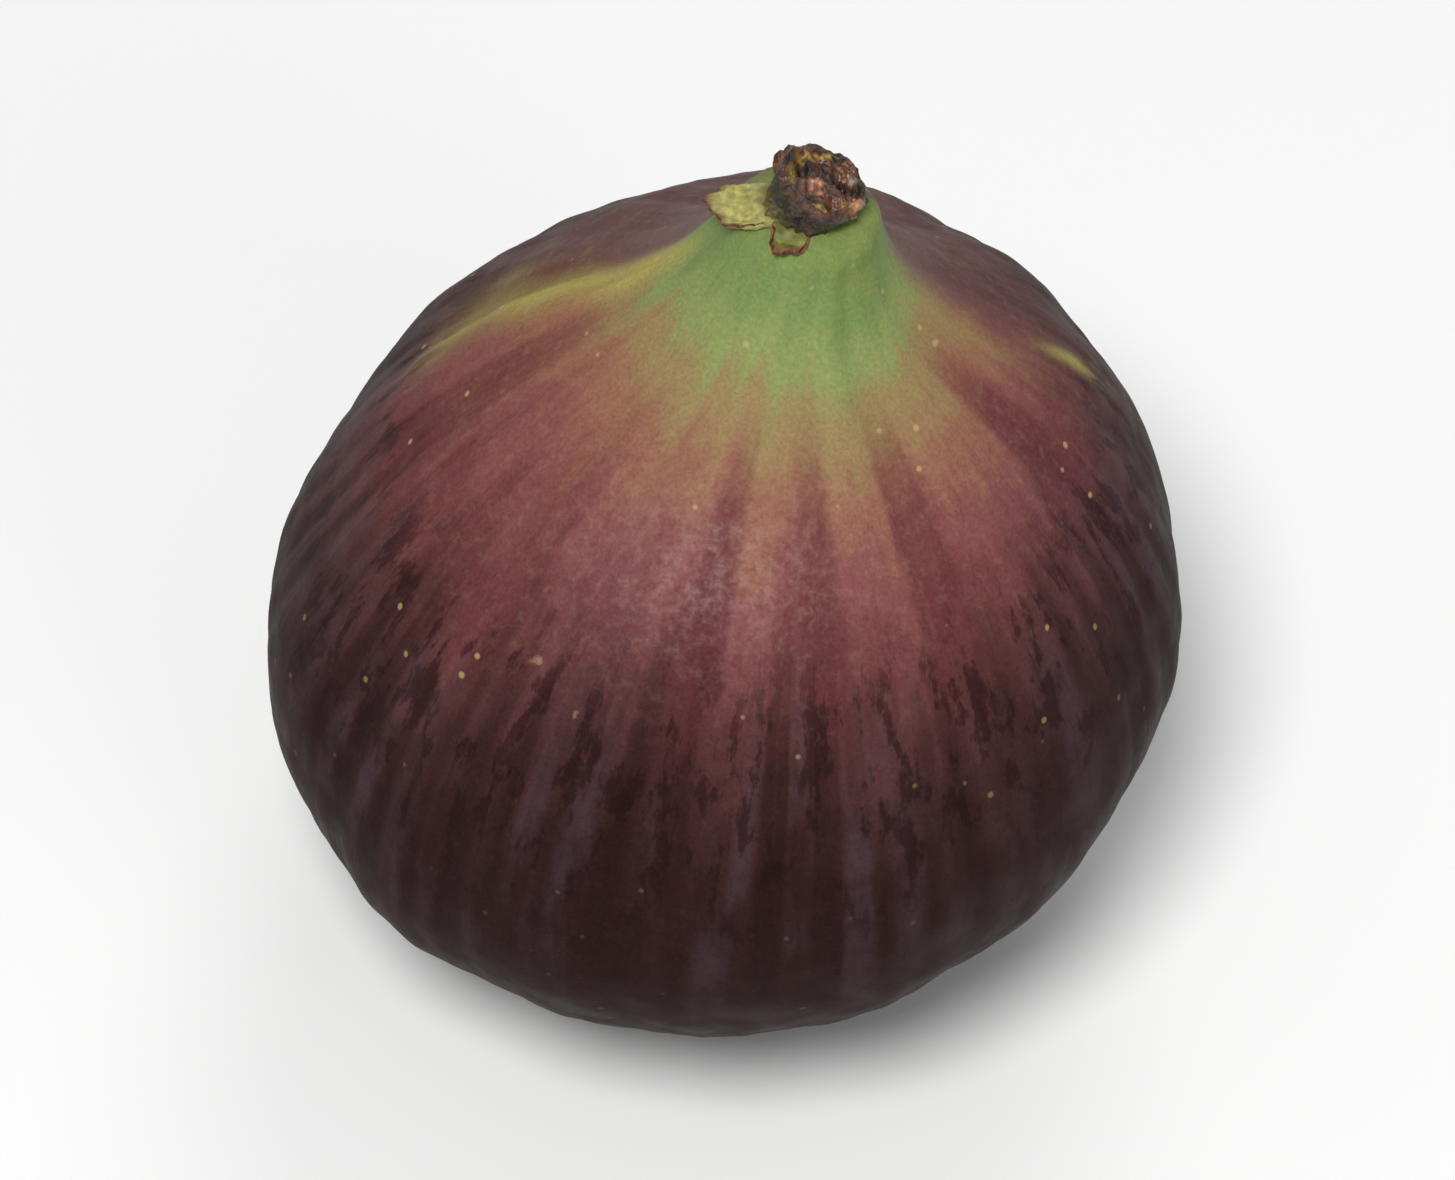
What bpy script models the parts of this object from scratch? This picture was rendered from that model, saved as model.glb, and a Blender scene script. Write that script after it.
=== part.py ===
"""A whole fresh fig as picked: the fruit with its tapering neck, the dried stub of its stalk,
the three small bracts where the stalk meets the neck, and the scales that close its eye.

Metres, +Z up. The fruit stands on the flat ring round its eye, at z = 0. Its front is -Y.
An azimuth is counted in degrees from the front towards +X.
"""

import math

import bmesh
import bpy
import numpy as np

MM = 0.001

# Fruit: the cage of the smooth curve that is turned into the skin, as (radius, height) in mm,
# from the foot round the belly to the top of the neck. The curve passes through its two ends.
FOOT_RADIUS = 6.5
NECK_RADIUS = 4.3
NECK_HEIGHT = 60.0
PROFILE_CAGE = (
    (FOOT_RADIUS, 0.0),
    (14.0, 2.5),
    (21.0, 8.3),
    (26.2, 15.4),
    (28.6, 22.6),
    (27.2, 30.4),
    (23.2, 38.1),
    (17.3, 45.0),
    (10.7, 50.6),
    (6.3, 55.1),
    (NECK_RADIUS, NECK_HEIGHT),
)
CAP_RISE = 1.6  # the rounded top of the neck, under the stalk

# Fruit: how it departs from a turned shape.
BELLY_TILT = 0.06  # the widest ring climbs towards +X
TILT_FOOT = (0.0, 12.0)
TILT_CROWN = (34.0, 52.0)
NECK_LEAN = (4.8, -0.8)
LEAN_START = 26.0
LEAN_POWER = 1.6
RIB_COUNT = 14
RIB_DEPTH = 0.15
SWELLS = ((-105.0, 37.0, -0.4), (-62.0, 13.0, 0.55))  # broad flats and swells: azimuth, height, how far out
SWELL_WIDTH = 28.0
SWELL_HEIGHT = 9.0

# Foot and eye: a flat ring round a shallow hollow.
EYE_RADIUS = 3.6
EYE_DEPTH = 1.9

GAP = 0.3

# Stalk stub, on the neck's top.
STUB_RADIUS = 2.45
STUB_LENGTH = 1.7
STUB_TOP_SHIFT = (1.0, -0.4)
STUB_TOP_SLOPE = 0.25

# Bracts: azimuth, half of the width in degrees, reach from the stalk, lift of the free edge.
BRACTS = {
    "basal_bract_left": (-87.0, 34.0, 2.2, 0.2),
    "basal_bract_front": (-24.0, 25.0, 1.8, 0.6),
    "basal_bract_back": (-167.0, 27.0, 1.3, 0.9),
}
BRACT_THICKNESS = 0.4

# Scales that close the eye, as one low rosette.
SCALE_RING_RADIUS = 2.6
SCALE_THICKNESS = 0.9
SCALE_CLEARANCE = 0.4
SCALE_LOBES = 6

MESH_AROUND = 84
EYE_ROWS = 4
FOOT_ROWS = 2
BODY_ROWS = 34
CAP_ROWS = 5


def clear_scene():
    for old in list(bpy.data.objects):
        bpy.data.objects.remove(old, do_unlink=True)


def new_collection(name):
    collection = bpy.data.collections.new(name)
    bpy.context.scene.collection.children.link(collection)
    return collection


def material(name, colour, roughness):
    """A Principled material; colour is linear red, green and blue."""
    made = bpy.data.materials.new(name)
    made.use_nodes = True
    shader = made.node_tree.nodes["Principled BSDF"]
    shader.inputs["Base Color"].default_value = (*colour, 1.0)
    shader.inputs["Roughness"].default_value = roughness
    shader.inputs["Metallic"].default_value = 0.0
    made.diffuse_color = (*colour, 1.0)
    return made


def smooth_step(value, low, high):
    t = min(1.0, max(0.0, (value - low) / (high - low)))
    return t * t * (3.0 - 2.0 * t)


def spline(cage, steps):
    """Points of the uniform cubic B-spline of a cage, through both of its ends."""
    points = np.array(cage)
    padded = np.vstack([2 * points[0] - points[1], points, 2 * points[-1] - points[-2]])
    t = np.linspace(0.0, 1.0, steps, endpoint=False)[:, None]
    weights = ((1 - t) ** 3, 3 * t**3 - 6 * t**2 + 4, -3 * t**3 + 3 * t**2 + 3 * t + 1, t**3)
    spans = [sum(w * p for w, p in zip(weights, padded[i : i + 4])) / 6 for i in range(len(cage) - 1)]
    return np.vstack([*spans, points[-1]])


def evenly_spaced(line, count):
    """count points along a line of points, at equal distances."""
    along = np.concatenate([[0.0], np.cumsum(np.hypot(*np.diff(line, axis=0).T))])
    stations = np.linspace(0.0, along[-1], count)
    return [tuple(float(np.interp(s, along, line[:, axis])) for axis in (0, 1)) for s in stations]


def fruit_profile():
    """(radius, height) from the middle of the eye, round the belly, to the middle of the neck's top."""
    eye_radii = np.linspace(0.0, EYE_RADIUS, EYE_ROWS + 1)[:-1]
    eye = [(r, EYE_DEPTH * math.sqrt(1.0 - (r / EYE_RADIUS) ** 2)) for r in eye_radii]
    foot = [(r, 0.0) for r in np.linspace(EYE_RADIUS, FOOT_RADIUS, FOOT_ROWS + 1)]
    body = evenly_spaced(spline(PROFILE_CAGE, 24), BODY_ROWS + 1)[1:]
    turns = np.linspace(0.0, math.pi / 2, CAP_ROWS + 1)[1:]
    cap = [(NECK_RADIUS * math.cos(a), NECK_HEIGHT + CAP_RISE * math.sin(a)) for a in turns]
    return eye + foot + body + cap


def skin_offset(azimuth, height):
    """How far the skin stands out or in here: soft ribs that fade at the foot and the neck, and swells."""
    wander = 0.9 * math.sin(2.0 * azimuth + 0.6) + 0.5 * math.sin(3.0 * azimuth)
    fade = smooth_step(height, 4.0, 16.0) * (1.0 - smooth_step(height, 40.0, 54.0))
    offset = RIB_DEPTH * fade * math.cos(RIB_COUNT * azimuth + wander)
    for direction, level, depth in SWELLS:
        turn = (math.degrees(azimuth) - direction + 180.0) % 360.0 - 180.0
        offset += depth * math.exp(-((turn / SWELL_WIDTH) ** 2) - ((height - level) / SWELL_HEIGHT) ** 2)
    return offset


def neck_shift(height):
    """The neck's sideways lean at a height; its rounded top moves as one."""
    t = max(0.0, (min(height, NECK_HEIGHT) - LEAN_START) / (NECK_HEIGHT - LEAN_START)) ** LEAN_POWER
    return NECK_LEAN[0] * t, NECK_LEAN[1] * t


def fruit_point(radius, height, azimuth):
    """A point of the skin, from its place on the turned profile."""
    out = radius + skin_offset(azimuth, height)
    x, y = out * math.sin(azimuth), -out * math.cos(azimuth)
    window = smooth_step(height, *TILT_FOOT) * (1.0 - smooth_step(height, *TILT_CROWN))
    shift_x, shift_y = neck_shift(height)
    return x + shift_x, y + shift_y, height + BELLY_TILT * x * window


def turned_mesh(name, profile, place, around):
    """A sphere's mesh whose rows are moved onto a profile: place(radius, height, azimuth) gives mm."""
    mesh = bpy.data.meshes.new(name)
    bm = bmesh.new()
    rows = len(profile) - 1
    bmesh.ops.create_uvsphere(bm, u_segments=around, v_segments=rows, radius=1.0)
    for vertex in bm.verts:
        polar = math.acos(max(-1.0, min(1.0, -vertex.co.z)))
        row = round(polar / math.pi * rows)
        azimuth = math.atan2(vertex.co.x, -vertex.co.y)
        vertex.co = [MM * c for c in place(*profile[row], azimuth)]
    bmesh.ops.recalc_face_normals(bm, faces=bm.faces)
    bm.to_mesh(mesh)
    bm.free()
    mesh.shade_smooth()
    return mesh


def add_object(name, mesh, surface, collection):
    made = bpy.data.objects.new(name, mesh)
    mesh.materials.append(surface)
    collection.objects.link(made)
    return made


def make_fruit(collection):
    mesh = turned_mesh("fig_fruit", fruit_profile(), fruit_point, MESH_AROUND)
    return add_object("fig_fruit", mesh, material("fig_skin", (0.10, 0.045, 0.045), 0.5), collection)


def cap_height(distance):
    """Height of the neck's rounded top at a distance from the neck's axis."""
    return NECK_HEIGHT + CAP_RISE * math.sqrt(max(0.0, 1.0 - (distance / NECK_RADIUS) ** 2))


def make_stalk_stub(collection):
    """A short dried stump that follows the neck's top below and leans to the right."""
    middle_x, middle_y = neck_shift(NECK_HEIGHT)
    base = [(r, -1.0) for r in np.linspace(0.0, STUB_RADIUS, 4)]
    side = [(STUB_RADIUS, level) for level in (0.25, 0.5, 0.75)]
    rim = [(STUB_RADIUS * 0.97, 1.0), (STUB_RADIUS * 0.8, 1.12)]
    middle = [(STUB_RADIUS * 0.45, 0.97), (0.0, 0.95)]

    def place(radius, level, azimuth):
        ragged = 1.0 + 0.05 * math.sin(3.0 * azimuth + 0.8) + 0.03 * math.sin(5.0 * azimuth)
        x, y = radius * ragged * math.sin(azimuth), -radius * ragged * math.cos(azimuth)
        foot = cap_height(math.hypot(x, y)) + GAP
        if level < 0.0:
            return middle_x + x, middle_y + y, foot
        lean_x, lean_y = STUB_TOP_SHIFT[0] * level, STUB_TOP_SHIFT[1] * level
        top = cap_height(0.0) + GAP + STUB_LENGTH - STUB_TOP_SLOPE * x
        return middle_x + x + lean_x, middle_y + y + lean_y, foot + (top - foot) * level

    mesh = turned_mesh("stalk_stub", base + side + rim + middle, place, 24)
    return add_object("stalk_stub", mesh, material("dry_stalk", (0.06, 0.03, 0.015), 0.45), collection)


def make_bract(name, azimuth, half_width, reach, lift, surface, collection):
    """A thin flap that lies on the neck's top beside the stalk, its free edge lifted."""
    middle_x, middle_y = neck_shift(NECK_HEIGHT)
    root = STUB_RADIUS * 1.08 + GAP
    shoulder = NECK_RADIUS * 0.8
    mesh = bpy.data.meshes.new(name)
    bm = bmesh.new()
    bmesh.ops.create_grid(bm, x_segments=8, y_segments=5, size=1.0)
    for vertex in bm.verts:
        across, out = -vertex.co.x, (vertex.co.y + 1.0) / 2.0
        turn = math.radians(azimuth + half_width * across * (1.0 - 0.35 * out**2))
        distance = root + reach * out * (1.0 - 0.35 * across**2)
        height = cap_height(min(distance, shoulder)) + GAP + lift * out**2
        x = middle_x + distance * math.sin(turn)
        y = middle_y - distance * math.cos(turn)
        vertex.co = (MM * x, MM * y, MM * height)
    bm.to_mesh(mesh)
    bm.free()
    mesh.shade_smooth()
    made = add_object(name, mesh, surface, collection)
    thick = made.modifiers.new("thickness", "SOLIDIFY")
    thick.thickness = MM * BRACT_THICKNESS
    thick.offset = 1.0
    return made


def make_bracts(collection):
    surface = material("bract_green", (0.25, 0.25, 0.09), 0.55)
    for name, (azimuth, half_width, reach, lift) in BRACTS.items():
        make_bract(name, azimuth, half_width, reach, lift, surface, collection)


def make_eye_scales(collection):
    """The overlapping scales that close the eye, as one lobed disc inside the hollow."""
    radii = (0.0, 0.5, 0.8, 1.0, 0.8, 0.5, 0.0)
    levels = (0.15, 0.0, 0.1, 0.5, 0.85, 0.95, 1.0)
    profile = [(SCALE_RING_RADIUS * r, SCALE_CLEARANCE + SCALE_THICKNESS * h) for r, h in zip(radii, levels)]

    def place(radius, height, azimuth):
        out = radius * (0.93 + 0.07 * math.cos(SCALE_LOBES * azimuth))
        return out * math.sin(azimuth), -out * math.cos(azimuth), height

    mesh = turned_mesh("eye_scales", profile, place, 36)
    return add_object("eye_scales", mesh, material("eye_brown", (0.16, 0.06, 0.03), 0.6), collection)


def main():
    clear_scene()
    collection = new_collection("fresh_fig")
    make_fruit(collection)
    make_stalk_stub(collection)
    make_bracts(collection)
    make_eye_scales(collection)


main()
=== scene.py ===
"""The looks of a whole fresh fig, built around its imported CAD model.

Lengths are in mm until a mesh is made. An azimuth is counted from the front, -Y, towards +X.
"""

import math
import random
from types import SimpleNamespace

import bmesh
import bpy
import numpy as np
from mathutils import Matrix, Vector, noise


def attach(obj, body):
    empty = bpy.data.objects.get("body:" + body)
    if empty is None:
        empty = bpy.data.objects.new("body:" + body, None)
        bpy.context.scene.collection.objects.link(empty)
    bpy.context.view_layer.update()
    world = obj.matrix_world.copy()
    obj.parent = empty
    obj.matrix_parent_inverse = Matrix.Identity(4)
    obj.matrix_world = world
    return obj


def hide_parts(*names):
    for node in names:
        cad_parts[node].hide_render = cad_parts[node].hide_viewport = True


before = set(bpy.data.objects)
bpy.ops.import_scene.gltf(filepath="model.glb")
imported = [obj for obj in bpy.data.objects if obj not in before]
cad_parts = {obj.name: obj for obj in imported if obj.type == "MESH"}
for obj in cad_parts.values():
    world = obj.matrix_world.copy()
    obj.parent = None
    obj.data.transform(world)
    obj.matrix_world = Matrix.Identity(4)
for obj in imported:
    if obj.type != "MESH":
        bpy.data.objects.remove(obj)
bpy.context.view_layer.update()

MM = 0.001

# The turned shape and the stub, near the CAD model's. The cage of the smooth curve is (radius, height).
FOOT_RADIUS = 6.5
NECK_RADIUS = 4.3
NECK_HEIGHT = 60.0
PROFILE_CAGE = (
    (FOOT_RADIUS, 0.0),
    (14.0, 2.5),
    (21.0, 8.3),
    (26.2, 15.4),
    (28.6, 22.6),
    (27.2, 30.4),
    (23.2, 38.1),
    (17.3, 45.0),
    (10.7, 50.6),
    (6.3, 55.1),
    (NECK_RADIUS, NECK_HEIGHT),
)
CAP_RISE = 1.6
BELLY_TILT = 0.06
TILT_FOOT = (0.0, 12.0)
TILT_CROWN = (34.0, 52.0)
NECK_LEAN = (4.8, -0.8)
LEAN_START = 26.0
LEAN_POWER = 1.6
RIB_COUNT = 14
RIB_DEPTH = 0.15
SWELLS = ((-105.0, 37.0, -0.4), (-62.0, 13.0, 0.55))  # azimuth, height, how far out
SWELL_WIDTH = 28.0
SWELL_HEIGHT = 9.0
EYE_RADIUS = 3.6
EYE_DEPTH = 1.9
STUB_RADIUS = 2.45
STUB_LENGTH = 1.7
STUB_TOP_SHIFT = (1.0, -0.4)
STUB_TOP_SLOPE = 0.45
GAP = 0.3

# Resolution: points around a shape, and rows from its bottom to its top.
SKIN_AROUND = 400
EYE_ROWS = 12
FOOT_ROWS = 6
SKIN_ROWS = 222
STUB_AROUND = 200
STUB_ROWS = 150

# The stub's outline as (share of its radius, level): under it, up the bark, over the rim, and across
# the broken end.
STUB_LINE = (
    (0.05, -0.03),
    (0.9, -0.03),
    (1.08, 0.03),
    (1.03, 0.2),
    (0.99, 0.45),
    (1.02, 0.72),
    (1.06, 0.92),
    (1.0, 1.03),
    (0.91, 1.05),
    (0.83, 0.97),
    (0.76, 0.86),
    (0.62, 0.84),
    (0.45, 0.88),
    (0.2, 0.86),
    (0.02, 0.86),
)

# Bracts: azimuth, half of the width in degrees, reach, lift of the free edge, where across it reaches
# furthest, seed, and the display colours of the flesh and of the margin.
BRACTS = {
    "basal_bract_left": (-80.0, 42.0, 3.1, 0.1, -0.45, 3, (156, 154, 98), (124, 90, 56)),
    "basal_bract_front": (-23.0, 29.0, 1.75, 0.25, 0.0, 5, (112, 116, 60), (132, 78, 62)),
    "basal_bract_back": (-167.0, 29.0, 1.4, 0.7, 0.0, 7, (104, 78, 62), (92, 62, 44)),
}
BRACT_THICKNESS = 0.36

# Rings of eye scales, from the outer to the inner: how many, outer radius, inner radius, height.
SCALE_RINGS = ((7, 3.05, 1.1, 1.15), (6, 2.35, 0.55, 1.0), (5, 1.5, 0.15, 0.95))
SCALE_THICKNESS = 0.22

# Healed nicks: middle and size.
SCARS = (((-10.7, -17.1, 40.1), 0.40), ((-8.6, -20.1, 38.8), 0.27), ((6.4, -4.2, 60.8), 0.25))

# The camera sees the fig from the front and above.
CAMERA_ELEVATION = 50.0
CAMERA_DISTANCE = 425.0
CAMERA_CENTRE = (0.0, 0.0, 27.0)
CAMERA_AIM = (0.3, 0.0, 25.9)
CAMERA_LENS = 172.0

# Lights, in metres and watts: name, place, diameter, power.
LIGHTS = (
    ("key_softbox", (-0.14, -0.50, 0.95), 0.36, 8.6),
    ("front_fill", (0.55, -0.7, 0.5), 0.6, 1.4),
    ("back_fill", (0.2, 0.7, 0.9), 0.6, 2.2),
)
LIGHT_AIM = (0.0, 0.0, 0.03)
WORLD_STRENGTH = 0.28
FLOOR_HALF_SIZE = 3.0


# ---------------------------------------------------------------- numbers and waves


def smooth_step(value, low, high):
    t = np.clip((value - low) / (high - low), 0.0, 1.0)
    return t * t * (3.0 - 2.0 * t)


def hump(value, middle, width):
    """1 at the middle, falling to nearly 0 at two widths from it."""
    return np.exp(-(((value - middle) / width) ** 2))


def turn_from(azimuth, degrees):
    """Degrees from a direction, between -180 and 180."""
    return (np.degrees(azimuth) - degrees + 180.0) % 360.0 - 180.0


def streaks(azimuth, along, seed, counts, drift=1.0):
    """Bands that run from the eye to the neck, wandering as they go; of about unit size."""
    rng = random.Random(seed)
    total = np.zeros(np.broadcast(azimuth, along).shape)
    for count in counts:
        phase, sway = rng.uniform(0.0, 2 * math.pi), rng.gauss(0.0, drift)
        bend, offset = rng.uniform(1.0, 3.0), rng.uniform(0.0, 6.0)
        wave = count * azimuth + phase + sway * 2.5 * np.sin(bend * along * math.pi + offset)
        total = total + np.cos(wave) * rng.uniform(0.6, 1.0)
    return total / math.sqrt(len(counts) / 2)


def lumps(points, seed, wavelength, count=22):
    """Smooth random hills of about unit size, a wavelength apart."""
    rng = random.Random(seed)
    total = np.zeros(points.shape[:-1])
    for _ in range(count):
        direction = Vector([rng.gauss(0.0, 1.0) for _ in range(3)]).normalized()
        rate = 2 * math.pi / (wavelength * rng.uniform(0.75, 1.4))
        total += np.cos(points @ np.array(direction) * rate + rng.uniform(0.0, 2 * math.pi))
    return total / math.sqrt(count / 2)


def crumble(points, size, octaves=4, seed=0.0):
    """Fractal noise of about -1 to 1 at points in mm, with features of a size in mm."""
    shift = Vector((17.3, -9.1, 5.7)) * seed
    places = points.reshape(-1, 3).tolist()
    flat = [noise.fractal(Vector(place) / size + shift, 1.0, 2.0, octaves) for place in places]
    return np.array(flat).reshape(points.shape[:-1])


def blend(share, a, b):
    """Two values or two colours, mixed by a share at every point; a colour is single or one a point."""
    share = np.clip(share, 0.0, 1.0)
    if np.ndim(b) > np.ndim(share) or np.shape(b) == (3,):
        share = np.asarray(share)[..., None]
    return a * (1.0 - share) + b * share


def srgb(red, green, blue):
    """A colour given in display values from 0 to 255, as linear red, green, blue, alpha."""
    def linear(c):
        c /= 255.0
        return c / 12.92 if c <= 0.04045 else ((c + 0.055) / 1.055) ** 2.4
    return (linear(red), linear(green), linear(blue), 1.0)


def tone(red, green, blue):
    """A display colour from 0 to 255 as linear red, green and blue."""
    return np.array(srgb(red, green, blue)[:3])


# ---------------------------------------------------------------- meshes


def shell_mesh(name, grid, flat=False):
    """A closed mesh from rows of points that run round it.

    Its first and last rows close on a point, or across from face to face where the shape is flat.
    """
    rows, around = grid.shape[:2]
    points = grid.reshape(-1, 3)
    index = np.arange(rows * around).reshape(rows, around)
    after = np.roll(index, -1, axis=1)
    faces = np.stack([index[:-1], after[:-1], after[1:], index[1:]], axis=-1).reshape(-1, 4).tolist()
    if flat:
        for row in (index[0].tolist(), index[-1].tolist()):
            faces += [[row[i], row[i + 1], row[-2 - i], row[-1 - i]] for i in range(around // 2 - 1)]
    else:
        points = np.vstack([points, grid[0].mean(axis=0), grid[-1].mean(axis=0)])
        first, last = rows * around, rows * around + 1
        faces += [[first, b, a] for a, b in zip(index[0].tolist(), after[0].tolist())]
        faces += [[last, a, b] for a, b in zip(index[-1].tolist(), after[-1].tolist())]
    mesh = bpy.data.meshes.new(name)
    mesh.from_pydata((points * MM).tolist(), [], faces)
    bm = bmesh.new()
    bm.from_mesh(mesh)
    bmesh.ops.recalc_face_normals(bm, faces=bm.faces)
    bm.to_mesh(mesh)
    bm.free()
    mesh.shade_smooth()
    return mesh


def paint(mesh, name, values):
    """A named number, or vector, on every point of a shell mesh; end points take their row's mean."""
    full = values.reshape(-1, *values.shape[2:])
    if len(mesh.vertices) > len(full):
        full = np.concatenate([full, values[0].mean(axis=0)[None], values[-1].mean(axis=0)[None]])
    kind, key = ("FLOAT_VECTOR", "vector") if full.ndim == 2 else ("FLOAT", "value")
    mesh.attributes.new(name, kind, "POINT").data.foreach_set(key, full.astype(np.float32).ravel())


def normals_of(grid):
    """Outward normals of rows of points that run round a shape from its bottom to its top."""
    along = np.gradient(grid, axis=0)
    around = np.roll(grid, -1, axis=1) - np.roll(grid, 1, axis=1)
    return unit(np.cross(around, along))


def unit(vectors):
    return vectors / np.maximum(np.linalg.norm(vectors, axis=-1, keepdims=True), 1e-9)


def add_piece(name, mesh, surface, slot, *nodes):
    piece = bpy.data.objects.new(name, mesh)
    mesh.materials.append(surface)
    bpy.context.scene.collection.objects.link(piece)
    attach(piece, "root")
    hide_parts(*nodes)


# ---------------------------------------------------------------- shader helpers


class Shader:
    """A material's nodes, added by short calls that return the socket to use next."""

    def __init__(self, name):
        self.material = bpy.data.materials.new(name)
        self.material.use_nodes = True
        self.tree = self.material.node_tree
        self.surface = self.tree.nodes["Principled BSDF"]

    def set(self, **values):
        for name, value in values.items():
            self.surface.inputs[name.replace("_", " ")].default_value = value

    def plug(self, value, socket):
        if isinstance(value, bpy.types.NodeSocket):
            self.tree.links.new(value, socket)
        elif value is not None:
            socket.default_value = value

    def finish(self, name, value):
        self.plug(value, self.surface.inputs[name])

    def attribute(self, name, output="Fac"):
        node = self.tree.nodes.new("ShaderNodeAttribute")
        node.attribute_name = name
        return node.outputs[output]

    def place(self):
        return self.tree.nodes.new("ShaderNodeTexCoord").outputs["Object"]

    def scaled(self, vector, scale, shift=(0.0, 0.0, 0.0)):
        node = self.tree.nodes.new("ShaderNodeMapping")
        self.plug(vector, node.inputs["Vector"])
        node.inputs["Scale"].default_value = scale
        node.inputs["Location"].default_value = shift
        return node.outputs["Vector"]

    def noise(self, vector, scale, detail=3.0, roughness=0.55):
        node = self.tree.nodes.new("ShaderNodeTexNoise")
        self.plug(vector, node.inputs["Vector"])
        node.inputs["Scale"].default_value = scale
        node.inputs["Detail"].default_value = detail
        node.inputs["Roughness"].default_value = roughness
        return node.outputs["Fac"]

    def cells(self, vector, scale):
        node = self.tree.nodes.new("ShaderNodeTexVoronoi")
        self.plug(vector, node.inputs["Vector"])
        node.inputs["Scale"].default_value = scale
        return node.outputs["Distance"], node.outputs["Color"]

    def math(self, operation, a, b=None, c=None):
        node = self.tree.nodes.new("ShaderNodeMath")
        node.operation = operation
        for value, socket in zip((a, b, c), node.inputs):
            self.plug(value, socket)
        return node.outputs[0]

    def times(self, first, *others):
        """The product of two or more values."""
        for other in others:
            first = self.math("MULTIPLY", first, other)
        return first

    def around(self, value, share, base):
        """base, moved up or down by value's distance from its usual 0.5."""
        return self.math("MULTIPLY_ADD", self.math("SUBTRACT", value, 0.5), share, base)

    def span(self, value, low, high, to_low=0.0, to_high=1.0):
        """value from low to high, smoothly turned into to_low to to_high."""
        node = self.tree.nodes.new("ShaderNodeMapRange")
        node.interpolation_type = "SMOOTHSTEP"
        for item, number in zip(("Value", "From Min", "From Max", "To Min", "To Max"),
                                (value, low, high, to_low, to_high)):
            self.plug(number, node.inputs[item])
        return node.outputs["Result"]

    def ramp(self, value, stops):
        node = self.tree.nodes.new("ShaderNodeValToRGB")
        node.color_ramp.interpolation = "EASE"
        elements = node.color_ramp.elements
        while len(elements) < len(stops):
            elements.new(1.0)
        for element, (position, colour) in zip(elements, stops):
            element.position = position
            element.color = srgb(*colour)
        self.plug(value, node.inputs["Fac"])
        return node.outputs["Color"]

    def mix(self, share, a, b, blend="MIX"):
        node = self.tree.nodes.new("ShaderNodeMix")
        node.data_type = "RGBA"
        node.blend_type = blend
        self.plug(share, node.inputs[0])
        self.plug(a, node.inputs[6])
        self.plug(b, node.inputs[7])
        return node.outputs[2]

    def bump(self, height, strength, distance):
        node = self.tree.nodes.new("ShaderNodeBump")
        node.inputs["Strength"].default_value = strength
        node.inputs["Distance"].default_value = distance
        self.plug(height, node.inputs["Height"])
        return node.outputs["Normal"]


# ---------------------------------------------------------------- the fruit's shape


def spline(cage, steps):
    """Points of the uniform cubic B-spline of a cage, through both of its ends."""
    points = np.array(cage)
    padded = np.vstack([2 * points[0] - points[1], points, 2 * points[-1] - points[-2]])
    t = np.linspace(0.0, 1.0, steps, endpoint=False)[:, None]
    weights = ((1 - t) ** 3, 3 * t**3 - 6 * t**2 + 4, -3 * t**3 + 3 * t**2 + 3 * t + 1, t**3)
    spans = [sum(w * p for w, p in zip(weights, padded[i : i + 4])) / 6 for i in range(len(cage) - 1)]
    return np.vstack([*spans, points[-1]])


def evenly_spaced(line, count):
    """count points along a line of points, at equal distances."""
    along = np.concatenate([[0.0], np.cumsum(np.hypot(*np.diff(line, axis=0).T))])
    stations = np.linspace(0.0, along[-1], count)
    return np.stack([np.interp(stations, along, line[:, axis]) for axis in (0, 1)], axis=1)


def fruit_profile():
    """Rows of (radius, height), and their rise: below 0 in the eye and foot, 1 at the neck's top."""
    turns = np.linspace(math.pi / 2, 0.0, EYE_ROWS, endpoint=False)
    eye = np.stack([EYE_RADIUS * np.cos(turns) + 0.02, EYE_DEPTH * np.sin(turns)], axis=1)
    foot_radii = np.linspace(EYE_RADIUS, FOOT_RADIUS, FOOT_ROWS, endpoint=False)
    foot = np.stack([foot_radii, np.zeros(FOOT_ROWS)], axis=1)
    turns = np.linspace(0.0, math.pi / 2, 24)[1:]
    cap_radii, cap_heights = NECK_RADIUS * np.cos(turns) + 0.02, NECK_HEIGHT + CAP_RISE * np.sin(turns)
    cap = np.stack([cap_radii, cap_heights], axis=1)
    skin = evenly_spaced(np.vstack([spline(PROFILE_CAGE, 60), cap]), SKIN_ROWS)
    rise = np.concatenate([
        np.linspace(-0.1, -0.05, EYE_ROWS),
        np.linspace(-0.05, 0.0, FOOT_ROWS, endpoint=False),
        np.linspace(0.0, 1.0, SKIN_ROWS),
    ])
    return np.vstack([eye, foot, skin]), rise


def neck_shift(height):
    """The neck's sideways lean at a height; its rounded top moves as one."""
    t = np.clip((np.minimum(height, NECK_HEIGHT) - LEAN_START) / (NECK_HEIGHT - LEAN_START), 0.0, None)
    return NECK_LEAN[0] * t**LEAN_POWER, NECK_LEAN[1] * t**LEAN_POWER


def rib_wave(azimuth):
    """The main ribs, as in the CAD model: 1 on a rib and -1 in a groove."""
    return np.cos(RIB_COUNT * azimuth + 0.9 * np.sin(2 * azimuth + 0.6) + 0.5 * np.sin(3 * azimuth))


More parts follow.
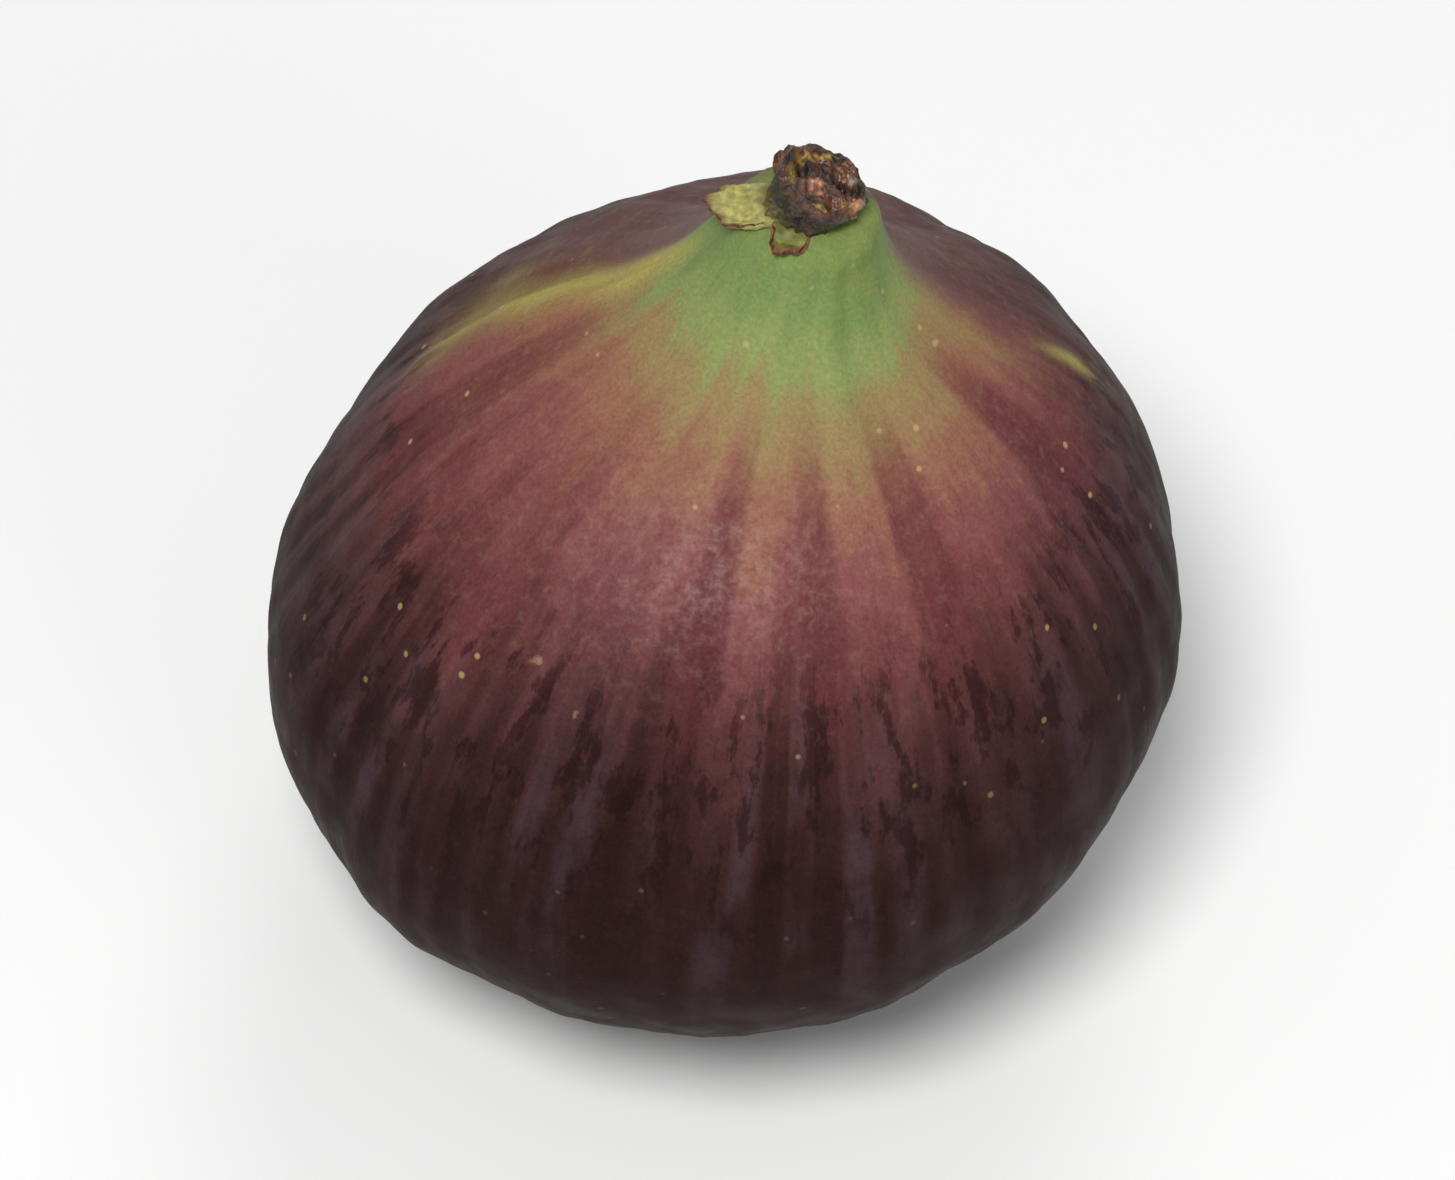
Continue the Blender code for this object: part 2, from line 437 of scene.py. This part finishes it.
def smooth_fruit(radius, height, azimuth):
    """The skin's points before the fine relief."""
    fade = smooth_step(height, 4.0, 16.0) * (1.0 - smooth_step(height, 40.0, 54.0))
    out = radius + RIB_DEPTH * fade * rib_wave(azimuth)
    for direction, level, depth in SWELLS:
        near = hump(turn_from(azimuth, direction), 0.0, SWELL_WIDTH)
        out = out + depth * near * hump(height, level, SWELL_HEIGHT)
    x, y = out * np.sin(azimuth), -out * np.cos(azimuth)
    window = smooth_step(height, *TILT_FOOT) * (1.0 - smooth_step(height, *TILT_CROWN))
    shift_x, shift_y = neck_shift(height)
    return np.stack([x + shift_x, y + shift_y, height + BELLY_TILT * x * window], axis=-1)


def stripes(azimuth, rise):
    """The narrow ribs of the lower half: positive on a pale rib and negative in a dark groove."""
    return streaks(azimuth, rise, 3, (36, 41, 47, 52, 58), drift=0.5)


def pleats(azimuth, rise):
    """The soft folds that gather towards the neck."""
    return streaks(azimuth, rise, 5, (9, 11, 14, 17, 19), drift=0.35)


def fine_relief(points, azimuth, rise):
    """How far the skin stands out along its normal: flutes, pleats at the neck, dimples and puckers."""
    lower = smooth_step(rise, 0.10, 0.35) * (1.0 - smooth_step(rise, 0.58, 0.78))
    upper = smooth_step(rise, 0.45, 0.70) * (1.0 - smooth_step(rise, 0.93, 0.975))
    relief = 0.035 * lower * stripes(azimuth, rise) + 0.06 * upper * pleats(azimuth, rise)
    relief += 0.012 * (1.0 - smooth_step(rise, 0.7, 0.9)) * streaks(azimuth, rise, 4, range(70, 120, 8))
    clear_of_foot = smooth_step(rise, 0.02, 0.12)
    relief += clear_of_foot * (0.10 * lumps(points, 7, 15.0) + 0.022 * lumps(points, 8, 4.0))
    collar = hump(rise, 0.955, 0.016) * hump(turn_from(azimuth, 45.0), 0.0, 50.0)
    relief += 0.30 * collar - 0.12 * hump(rise, 0.925, 0.012) * hump(turn_from(azimuth, 45.0), 0.0, 45.0)
    pucker = hump(rise, 0.03, 0.035) * smooth_step(rise, 0.0, 0.02)
    relief += pucker * 0.12 * streaks(azimuth, rise, 9, (18, 24, 31), drift=0.3)
    return relief


def build_skin():
    profile, rise = fruit_profile()
    azimuth = np.linspace(-math.pi, math.pi, SKIN_AROUND, endpoint=False)[None, :]
    radius, height, rise = profile[:, :1], profile[:, 1:], rise[:, None]
    base = smooth_fruit(radius, height, azimuth)
    rise, azimuth = np.broadcast_arrays(rise, azimuth)
    grid = base + normals_of(base) * fine_relief(base, azimuth, rise)[..., None]
    mesh = shell_mesh("fig_fruit_skin", grid)
    paint(mesh, "flow", np.stack([np.sin(azimuth), -np.cos(azimuth), rise], axis=-1))
    paint(mesh, "rise", rise)
    paint(mesh, "ripe", ripeness(azimuth, rise))
    paint(mesh, "shaded_side", shaded_side(azimuth, rise))
    paint(mesh, "yellow", yellow_streaks(azimuth, rise))
    paint(mesh, "stripe", stripes(azimuth, rise) + 0.5 * rib_wave(azimuth))
    paint(mesh, "pleat", pleats(azimuth, rise))
    paint(mesh, "mauve", mauve_patches(azimuth, rise))
    # Painted highlight: a soft whitish sheen on the upper front of the skin.
    paint(mesh, "painted_highlight", hump(turn_from(azimuth, -8.0), 0.0, 24.0) * hump(rise, 0.725, 0.055))
    return mesh


# ---------------------------------------------------------------- the fruit's colours


def ripeness(azimuth, rise):
    """The rise as the skin's colour sees it: the neck's green reaches lower in front and at the right."""
    reach = 0.024 * hump(turn_from(azimuth, 38.0), 0.0, 42.0)
    reach += 0.012 * hump(turn_from(azimuth, 16.0), 0.0, 8.0)
    reach -= 0.022 * hump(turn_from(azimuth, -16.0), 0.0, 9.0) * (1.0 - smooth_step(rise, 0.62, 0.74))
    reach += 0.012 * hump(turn_from(azimuth, -100.0), 0.0, 20.0)
    reach += 0.042 * hump(turn_from(azimuth, -82.0), 0.0, 30.0) * (1.0 - smooth_step(rise, 0.66, 0.78))
    tongues = streaks(azimuth, rise, 11, (5, 8, 11, 13, 17, 22), drift=0.3)
    return rise + reach + tongues * (0.003 + 0.010 * (1.0 - smooth_step(rise, 0.74, 0.84))) - 0.006


def shaded_side(azimuth, rise):
    """0 on the front, where the neck stays green, and 1 on the back, which is purple up to the stalk."""
    left = smooth_step(-turn_from(azimuth, 0.0), 106.0, 122.0)
    right = smooth_step(turn_from(azimuth, 0.0), 84.0, 112.0)
    return np.maximum(left, right) * (1.0 - smooth_step(rise, 0.945, 0.975))


def yellow_streaks(azimuth, rise):
    """The bright yellow-green streaks where a leaf lay against the fruit."""
    turn = turn_from(azimuth, 0.0)
    left_line = -114.0 + 9.0 * smooth_step(rise, 0.72, 0.85) + 9.0 * smooth_step(rise, 0.84, 0.92)
    left_line = left_line + 1.5 * np.sin(70.0 * rise)
    left_ends = smooth_step(rise, 0.60, 0.68) * (1.0 - smooth_step(rise, 0.86, 0.93))
    left = hump(turn - left_line, 0.0, 7.5) * left_ends
    right_line = 103.0 - 30.0 * (rise - 0.6)
    right = hump(turn - right_line, 0.0, 1.8) * hump(rise, 0.655, 0.04)
    wide = 0.35 * hump(turn, 91.0, 5.0) * hump(rise, 0.79, 0.07)
    back = 0.7 * hump(turn_from(azimuth, 168.0), 0.0, 4.0) * hump(rise, 0.80, 0.07)
    return left + right + wide + back


def mauve_patches(azimuth, rise):
    """Two duller patches, at the right and left of the middle."""
    right = hump(turn_from(azimuth, 72.0), 0.0, 24.0) * hump(rise, 0.66, 0.10)
    left = hump(turn_from(azimuth, -28.0), 0.0, 14.0) * hump(rise, 0.68, 0.08)
    return 0.28 * right + 0.30 * left


# Display colours up the skin, by ripeness. In both ramps the near black of the belly is partly the fruit's
# own colour and partly painted shade, darker where the lower half turns from the light.
FRONT_COLOURS = (
    (0.00, (60, 38, 30)),
    (0.10, (40, 23, 19)),
    (0.36, (38, 20, 17)),
    (0.48, (44, 24, 22)),
    (0.55, (59, 34, 33)),
    (0.61, (80, 47, 46)),
    (0.67, (110, 62, 61)),
    (0.73, (129, 77, 74)),
    (0.79, (144, 98, 80)),
    (0.84, (146, 125, 84)),
    (0.885, (133, 147, 88)),
    # The green darkens a little here: partly the neck's own green, partly painted shade under the bracts.
    (0.925, (116, 138, 79)),
    (0.97, (120, 138, 76)),
)
BACK_COLOURS = (
    (0.00, (60, 38, 30)),
    (0.10, (40, 23, 19)),
    (0.36, (39, 22, 19)),
    (0.50, (54, 37, 34)),
    (0.62, (74, 50, 47)),
    (0.74, (100, 69, 67)),
    (0.86, (112, 86, 83)),
    (0.93, (108, 92, 76)),
    (0.97, (116, 124, 72)),
)


def skin_patterns(s):
    """The numbers that the skin's colour is made from: the rise, and noises of several sizes."""
    flow, place = s.attribute("flow", "Vector"), s.place()
    return SimpleNamespace(
        place=place,
        rise=s.attribute("rise"),
        tongues=s.noise(s.scaled(flow, (1, 1, 0.6)), 4.0, 2.0, 0.5),
        bands=s.noise(s.scaled(flow, (1, 1, 0.5)), 10.0, 4.0, 0.6),
        fibres=s.noise(s.scaled(flow, (1, 1, 0.15)), 36.0, 3.0, 0.6),
        blotches=s.noise(s.scaled(flow, (1, 1, 1.3), (3, 1, 0)), 14.0, 5.0, 0.66),
        mottle=s.noise(place, 330.0, 5.0, 0.62),
        speckle=s.noise(place, 1300.0, 4.0, 0.7),
        grain=s.noise(place, 4200.0, 2.0, 0.7),
    )


def ground_colour(s, p):
    """Near black at the belly, through maroon, to the green neck; wavy below and even at the neck."""
    calm = s.span(p.rise, 0.86, 0.72, 0.25, 1.0)

    def calmed(value):
        return s.math("MULTIPLY_ADD", s.around(value, 1.0, 0.0), calm, 0.5)

    wander = s.around(p.tongues, 0.10, s.attribute("ripe"))
    for value, share in ((p.bands, 0.15), (p.fibres, 0.05), (p.mottle, 0.11)):
        wander = s.around(calmed(value), share, wander)
    front, back = s.ramp(wander, FRONT_COLOURS), s.ramp(wander, BACK_COLOURS)
    colour = s.mix(s.attribute("shaded_side"), front, back)
    yellow = s.times(s.attribute("yellow"), s.span(p.bands, 0.25, 0.5, 0.5, 1.0))
    return s.mix(yellow, colour, srgb(166, 154, 84))


def add_stripes(s, p, colour):
    """Dark grooves and pale bloomed ribs on the belly, dark folds below the neck, and dark blotches."""
    belly = s.times(s.span(p.rise, 0.74, 0.58), s.span(p.rise, 0.2, 0.42))
    stripe = s.attribute("stripe")
    groove = s.times(s.span(stripe, 0.1, -0.9), belly)
    colour = s.mix(s.times(groove, 0.42), colour, srgb(28, 11, 13))
    broken = s.times(s.span(p.bands, 0.38, 0.60), s.span(p.mottle, 0.36, 0.58, 0.35, 1.0))
    bloom = s.times(s.span(stripe, -0.6, 1.2), belly, broken, s.span(p.rise, 0.30, 0.50, 0.4, 1.0))
    colour = s.mix(s.times(bloom, 0.36), colour, srgb(80, 66, 77))
    below_neck = s.times(s.span(p.rise, 0.56, 0.66), s.span(p.rise, 0.86, 0.74))
    fold = s.times(s.span(s.attribute("pleat"), 0.0, -1.1), below_neck)
    colour = s.mix(s.times(fold, 0.50), colour, srgb(84, 38, 42))
    mauve = s.times(s.attribute("mauve"), s.span(p.bands, 0.3, 0.6, 0.4, 1.0))
    colour = s.mix(mauve, colour, srgb(92, 62, 72))
    edge_of_dark = s.times(s.span(p.rise, 0.70, 0.60), s.span(p.rise, 0.36, 0.5))
    blot = s.times(s.span(p.blotches, 0.51, 0.60), edge_of_dark)
    return s.mix(s.times(blot, 0.66), colour, srgb(30, 12, 13))


def add_speckles(s, p, colour):
    """Fine pale and rosy specks, a painted highlight on the upper front, pores and scars."""
    pale = s.times(s.span(p.speckle, 0.48, 0.75), s.span(p.rise, 0.56, 0.76, 0.02, 0.26))
    colour = s.mix(pale, colour, srgb(160, 126, 98))
    rosy_zone = s.times(s.span(p.rise, 0.88, 0.78), s.span(p.rise, 0.45, 0.60, 0.25, 1.0))
    rosy = s.times(s.span(p.speckle, 0.5, 0.25), rosy_zone, 0.22)
    colour = s.mix(rosy, colour, srgb(104, 34, 46))
    # Painted highlight: a soft whitish grainy sheen on the upper front, mixed into the colour.
    painted_highlight = s.times(s.attribute("painted_highlight"), s.span(p.speckle, 0.35, 0.70), 0.20)
    colour = s.mix(painted_highlight, colour, srgb(186, 156, 156))
    colour = s.mix(1.0, colour, s.span(p.grain, 0.25, 0.75, 0.86, 1.14), "MULTIPLY")
    colour = s.mix(lenticels(s, p.place, p.rise), colour, srgb(184, 164, 110))
    for middle, size in SCARS:
        colour = s.mix(scar(s, p.place, p.speckle, middle, size), colour, srgb(158, 132, 104))
    return colour


def skin_material():
    s = Shader("fig_skin_waxy")
    p = skin_patterns(s)
    s.finish("Base Color", add_speckles(s, p, add_stripes(s, p, ground_colour(s, p))))
    s.finish("Roughness", s.span(s.noise(p.place, 420.0, 3.0), 0.3, 0.7, 0.50, 0.62))
    height = s.math("MULTIPLY_ADD", p.fibres, 0.5, s.times(p.grain, 0.3))
    s.finish("Normal", s.bump(height, 0.30, 0.00022))
    s.set(Subsurface_Weight=0.04, Subsurface_Scale=0.0012, Specular_IOR_Level=0.05)
    s.surface.inputs["Subsurface Radius"].default_value = (1.0, 0.35, 0.25)
    return s.material


def scar(s, place, ragged, middle, size):
    """A small healed nick with a star's ragged outline, at a point in mm."""
    node = s.tree.nodes.new("ShaderNodeVectorMath")
    node.operation = "DISTANCE"
    s.plug(place, node.inputs[0])
    node.inputs[1].default_value = [MM * c for c in middle]
    distance = s.around(ragged, -3.6 * size * MM, node.outputs["Value"])
    return s.span(distance, size * MM, 0.3 * size * MM, 0.0, 0.6)


def lenticels(s, place, rise):
    """Scattered pale pores, most of them in the middle of the fruit."""
    distance, chance = s.cells(place, 400.0)
    some = s.span(chance, 0.35, 0.40)
    dot = s.span(distance, 0.11, 0.05)
    zone = s.times(s.span(rise, 0.42, 0.66, 0.12, 1.0), s.span(rise, 0.97, 0.90))
    return s.times(dot, some, zone, 0.70)


# ---------------------------------------------------------------- stalk, bracts and eye


def cap_height(distance):
    """Height of the neck's rounded top at a distance from the neck's axis."""
    return NECK_HEIGHT + CAP_RISE * np.sqrt(np.clip(1.0 - (distance / NECK_RADIUS) ** 2, 0.0, None))


def stub_zones(x, y, azimuth, level):
    """How far each point of the stub belongs to each of its features, from 0 to 1."""
    row = np.arange(STUB_ROWS)[:, None] / (STUB_ROWS - 1.0)
    face = smooth_step(row, 0.60, 0.66)
    rim = hump(row, 0.585, 0.07)
    return SimpleNamespace(
        face=face,
        rim=rim,
        wall=smooth_step(row, 0.28, 0.36) * (1.0 - face),
        top=np.maximum(face, rim),
        pit_right=spot(x, y, (1.1, 0.45), 0.42),
        pit_left=spot(x, y, (-1.15, 0.8), 0.40),
        pith=spot(x, y, (-0.35, -0.25), 0.52),
        lump=spot(x, y, (1.9, -1.2), 0.45),
        chip=spot(x, y, (1.75, 0.75), 0.20),
        sap=hump(turn_from(azimuth, 24.0), 0.0, 30.0) * hump(level, 0.62, 0.32) * (1.0 - face),
    )


def stub_points(z, flat, x, y, azimuth, level):
    """The stub's surface: a wrinkled wall with a bead of sap, a jagged rim, and pits in the broken end."""
    bottom = cap_height(np.hypot(x, y)) + 0.05
    top = NECK_HEIGHT + CAP_RISE + GAP + STUB_LENGTH - STUB_TOP_SLOPE * x
    jagged = 0.15 * np.cos(azimuth + 2.5) + 0.42 * crumble(flat * (1, 1, 0.2), 1.5, 3, 1)
    height = bottom + (top - bottom) * level + z.rim * jagged
    height = height - z.face * (0.75 * z.pit_right + 0.6 * z.pit_left)
    height = height + z.face * 0.30 * z.pith + 0.35 * z.lump * z.top
    height = height + z.face * 0.42 * crumble(flat, 0.75, 4, 2)
    wrinkle = 0.10 * streaks(azimuth, level, 21, (13, 17, 23, 29), drift=0.3)
    wrinkle = wrinkle + 0.16 * crumble(flat, 0.9, 4, 3)
    bulge = z.wall * (wrinkle * (1.0 - 0.7 * z.sap) + 0.30 * z.sap)
    return np.stack(np.broadcast_arrays(
        NECK_LEAN[0] + x + STUB_TOP_SHIFT[0] * level + bulge * np.sin(azimuth),
        NECK_LEAN[1] + y + STUB_TOP_SHIFT[1] * level - bulge * np.cos(azimuth),
        height,
    ), axis=-1)


def stub_tint(z, fine, coarse, azimuth, share, level):
    """Grey-brown bark with a green side, and brown wood with a pale pith and a yellow ring."""
    bark = blend(0.5 + 1.3 * coarse, tone(28, 21, 14), tone(60, 45, 29))
    green_side = 0.8 * hump(turn_from(azimuth, -75.0), 0.0, 50.0)
    green_side = green_side * smooth_step(0.3 * fine - level, -0.55, -0.1) * z.wall
    bark = blend(green_side, bark, tone(112, 102, 50))
    wood = blend(0.42 + 1.1 * coarse, tone(38, 21, 15), tone(104, 62, 40))
    ring = hump(share, 0.78, 0.09) * z.face
    ring = ring * smooth_step(0.5 + fine - 0.6 * np.sin(azimuth - 0.3), 0.2, 0.9)
    wood = blend(ring, wood, tone(148, 122, 50))
    wood = blend(1.25 * z.pith * (0.8 + fine), wood, tone(198, 140, 104))
    # Painted shade: the pits of the broken end are painted near black.
    wood = blend(1.1 * np.maximum(z.pit_right, z.pit_left), wood, tone(17, 9, 8))
    wood = blend(0.8 * z.chip, wood, tone(176, 158, 138))
    tint = blend(z.face, bark, wood)
    tint = blend(1.1 * z.lump * z.top, tint, tone(168, 116, 76))
    tint = blend(0.9 * z.sap * z.wall, tint, tone(44, 18, 12))
    return np.clip(tint * (1.0 + 0.5 * fine[..., None]), 0.0, 1.0)


def build_stub():
    line = evenly_spaced(spline(STUB_LINE, 12), STUB_ROWS)
    azimuth = np.linspace(-math.pi, math.pi, STUB_AROUND, endpoint=False)[None, :]
    share, level = line[:, :1], line[:, 1:]
    out = STUB_RADIUS * share * (1.0 + 0.05 * np.cos(2 * azimuth + 0.7) + 0.03 * np.cos(5 * azimuth))
    x, y = out * np.sin(azimuth), -out * np.cos(azimuth)
    flat = np.stack(np.broadcast_arrays(x, y, 4.0 * level), axis=-1)
    z = stub_zones(x, y, azimuth, level)
    mesh = shell_mesh("stalk_stub_broken", stub_points(z, flat, x, y, azimuth, level))
    fine, coarse = crumble(flat, 0.35, 3, 4), crumble(flat, 1.1, 3, 5)
    tint = stub_tint(z, fine, coarse, azimuth, share, level)
    paint(mesh, "tint", tint)
    wet = np.maximum(z.sap * z.wall, 0.75 * z.face * smooth_step(coarse, -0.1, 0.35) * (1.0 - z.pith))
    paint(mesh, "wet", np.broadcast_to(wet, tint.shape[:2]) + 0.35 * z.rim)
    return mesh


def spot(x, y, middle, width):
    """1 at a place and nearly 0 two widths from it."""
    return np.exp(-((x - middle[0]) ** 2 + (y - middle[1]) ** 2) / width**2)


def both_faces(values):
    """Values on a leaf's upper face, repeated on its lower one."""
    return np.concatenate([values, values[:, ::-1]], axis=1)


def leaf_mesh(name, place, thickness, across=64, out=40):
    """A closed thin leaf, with u, v and the middle surface that its colours are worked out from.

    place(u, v) gives that surface, with u from -1 to 1 across and v from 0 to 1 outwards.
    """
    u, v = np.meshgrid(np.linspace(-1.0, 1.0, across), np.linspace(0.0, 1.0, out))
    middle = place(u, v)
    normal = unit(np.cross(np.gradient(middle, axis=1), np.gradient(middle, axis=0)))
    half = 0.5 * thickness * np.sqrt(np.clip(1.0 - 0.97 * np.maximum(np.abs(u), v) ** 10, 0.03, 1.0))
    half = half * (1.0 + 0.25 * crumble(middle, 0.8, 3, 7))
    top, bottom = middle + normal * half[..., None], middle - normal * half[..., None]
    mesh = shell_mesh(name, np.concatenate([top, bottom[:, ::-1]], axis=1), flat=True)
    return mesh, u, v, middle


def bract_place(azimuth, half_width, reach, lift, skew, seed):
    """A flap that starts under the stub and lies on the neck's top, with a torn free edge."""
    def place(u, v):
        ragged = np.stack([4.0 * u, 0.0 * u + seed, 0.0 * u], axis=-1)
        torn = 1.0 + 0.16 * crumble(ragged, 1.0, 4, seed) + 0.05 * np.cos(9.0 * u + seed)
        shape = (1.0 - np.where(u < skew, 1.6, 0.5) * (u - skew) ** 2) * torn
        distance = STUB_RADIUS * 0.92 + v * (0.4 + reach * np.clip(shape, 0.15, None))
        turn = np.radians(azimuth + half_width * u * (1.0 - 0.35 * v**2))
        x, y = distance * np.sin(turn), -distance * np.cos(turn)
        rough = crumble(np.stack([x, y, 0 * x], axis=-1), 1.6, 3, seed + 1)
        height = cap_height(np.minimum(distance, 0.8 * NECK_RADIUS)) + 0.32
        height = height + lift * v**2.2 + 0.20 * v * rough
        return np.stack([NECK_LEAN[0] + x, NECK_LEAN[1] + y, height], axis=-1)
    return place


def build_bract(name, azimuth, half_width, reach, lift, skew, seed, flesh, margin):
    place = bract_place(azimuth, half_width, reach, lift, skew, seed)
    mesh, u, v, middle = leaf_mesh(name, place, BRACT_THICKNESS)
    fine, coarse = crumble(middle, 0.4, 3, seed + 2), crumble(middle, 1.5, 3, seed + 3)
    outer_edge = smooth_step(v + 0.10 * coarse, 0.80, 0.98)
    side_edge = smooth_step(np.abs(u) + 0.10 * coarse, 0.86, 1.0)
    tint = blend(0.5 + 0.8 * coarse, flesh, flesh * np.array((1.12, 1.05, 0.80)))
    tint = blend(0.9 * np.maximum(outer_edge, side_edge), tint, margin)
    tint = blend(0.8 * smooth_step(v + 0.06 * fine, 0.95, 1.0), tint, tone(52, 28, 20))
    # Painted shade: the root, where the bract goes under the stub, is darkened.
    tint = blend(0.6 * (1.0 - smooth_step(v, 0.0, 0.22)), tint, tone(70, 52, 26))
    paint(mesh, "tint", both_faces(np.clip(tint * (1.0 + 0.35 * fine[..., None]), 0.0, 1.0)))
    paint(mesh, "wet", both_faces(np.full(u.shape, 0.25)))
    return mesh


def scale_place(azimuth, half_width, outer, inner, height, seed):
    """A pointed scale that runs from the eye's rim inwards, sunk along its middle."""
    def place(u, v):
        distance = outer + (inner - outer) * v
        width = half_width * (1.0 - 0.75 * v**2.5)
        turn = np.radians(azimuth + width * u * (outer / np.maximum(distance, 0.9)) ** 0.4)
        x, y = distance * np.sin(turn), -distance * np.cos(turn)
        arch = height - 0.45 * np.sin(math.pi * np.clip(v, 0.0, 1.0)) ** 0.8 + 0.22 * u**2
        rough = crumble(np.stack([x, y, 0 * x + seed], axis=-1), 0.7, 2)
        return np.stack([x, y, arch + 0.05 * rough], axis=-1)
    return place


def build_scales(surface):
    """Three rings of small pointed scales that overlap and close the eye."""
    rng = random.Random(5)
    for ring, (count, outer, inner, height) in enumerate(SCALE_RINGS):
        for i in range(count):
            azimuth = 360.0 * (i + 0.37 * ring) / count + rng.uniform(-6.0, 6.0)
            name = f"eye_scale_{ring + 1}_{i + 1}"
            level = height + rng.uniform(-0.06, 0.06)
            place = scale_place(azimuth, 235.0 / count, outer, inner, level, i + 10 * ring)
            mesh, u, v, middle = leaf_mesh(name, place, SCALE_THICKNESS, 22, 18)
            edge = np.maximum(smooth_step(v, 0.72, 1.0), smooth_step(np.abs(u), 0.7, 1.0))
            mottle = 1.0 + 0.3 * crumble(middle, 0.5, 3)
            tint = blend(edge, tone(88, 44, 34), tone(150, 112, 76)) * mottle[..., None]
            paint(mesh, "tint", both_faces(np.clip(tint, 0.0, 1.0)))
            paint(mesh, "wet", both_faces(np.full(u.shape, 0.2)))
            add_piece(name, mesh, surface, "eye_scales", "eye_scales")


def tinted_material(name, dry, wet, specular, bump):
    """A surface whose colour and wetness are painted on its points; dry and wet are its roughness."""
    s = Shader(name)
    place = s.place()
    grain = s.noise(place, 2600.0, 4.0, 0.65)
    colour = s.mix(1.0, s.attribute("tint", "Color"), s.span(grain, 0.25, 0.75, 0.72, 1.28), "MULTIPLY")
    s.finish("Base Color", colour)
    s.finish("Roughness", s.span(s.attribute("wet"), 0.0, 1.0, dry, wet))
    s.finish("Normal", s.bump(grain, bump, 0.0003))
    s.set(Specular_IOR_Level=specular)
    return s.material


def build_top_and_eye():
    stalk = tinted_material("stalk_broken_wood", 0.58, 0.08, 0.6, 0.45)
    add_piece("stalk_stub_broken", build_stub(), stalk, "dry_stalk", "stalk_stub")
    leaf = tinted_material("bract_flesh", 0.60, 0.35, 0.25, 0.25)
    for node, (*shape, flesh, margin) in BRACTS.items():
        name = node + "_ragged"
        mesh = build_bract(name, *shape, tone(*flesh), tone(*margin))
        add_piece(name, mesh, leaf, "bract", node)
    build_scales(tinted_material("eye_scale_flesh", 0.60, 0.40, 0.25, 0.2))


# ---------------------------------------------------------------- stage


def build_stage():
    size = FLOOR_HALF_SIZE
    mesh = bpy.data.meshes.new("studio_floor")
    corners = [(-size, -size, 0.0), (size, -size, 0.0), (size, size, 0.0), (-size, size, 0.0)]
    mesh.from_pydata(corners, [], [(0, 1, 2, 3)])
    floor = bpy.data.objects.new("studio_floor", mesh)
    bpy.context.scene.collection.objects.link(floor)
    s = Shader("pale_floor")
    s.set(Roughness=0.9, Specular_IOR_Level=0.1)
    s.finish("Base Color", srgb(247, 247, 246))
    mesh.materials.append(s.material)


def add_light(name, place, size, power):
    data = bpy.data.lights.new(name, "AREA")
    data.shape = "DISK"
    data.size = size
    data.energy = power
    lamp = bpy.data.objects.new(name, data)
    lamp.location = place
    lamp.rotation_euler = (Vector(LIGHT_AIM) - Vector(place)).to_track_quat("-Z", "Y").to_euler()
    bpy.context.scene.collection.objects.link(lamp)


def build_lights():
    for light in LIGHTS:
        add_light(*light)
    world = bpy.data.worlds.new("studio")
    world.use_nodes = True
    background = world.node_tree.nodes["Background"]
    background.inputs["Color"].default_value = srgb(240, 241, 243)
    background.inputs["Strength"].default_value = WORLD_STRENGTH
    bpy.context.scene.world = world


def build_camera():
    elevation = math.radians(CAMERA_ELEVATION)
    back = Vector((0.0, -math.cos(elevation), math.sin(elevation)))
    data = bpy.data.cameras.new("camera")
    data.lens = CAMERA_LENS
    data.clip_start = 0.02
    camera = bpy.data.objects.new("camera", data)
    camera.location = (Vector(CAMERA_CENTRE) + back * CAMERA_DISTANCE) * MM
    sight = Vector(CAMERA_AIM) * MM - camera.location
    camera.rotation_euler = sight.to_track_quat("-Z", "Y").to_euler()
    bpy.context.scene.collection.objects.link(camera)
    bpy.context.scene.camera = camera


def main():
    bpy.context.scene.view_settings.view_transform = "Standard"
    build_camera()
    build_stage()
    build_lights()
    add_piece("fig_fruit_skin", build_skin(), skin_material(), "fig_skin", "fig_fruit")
    build_top_and_eye()


main()
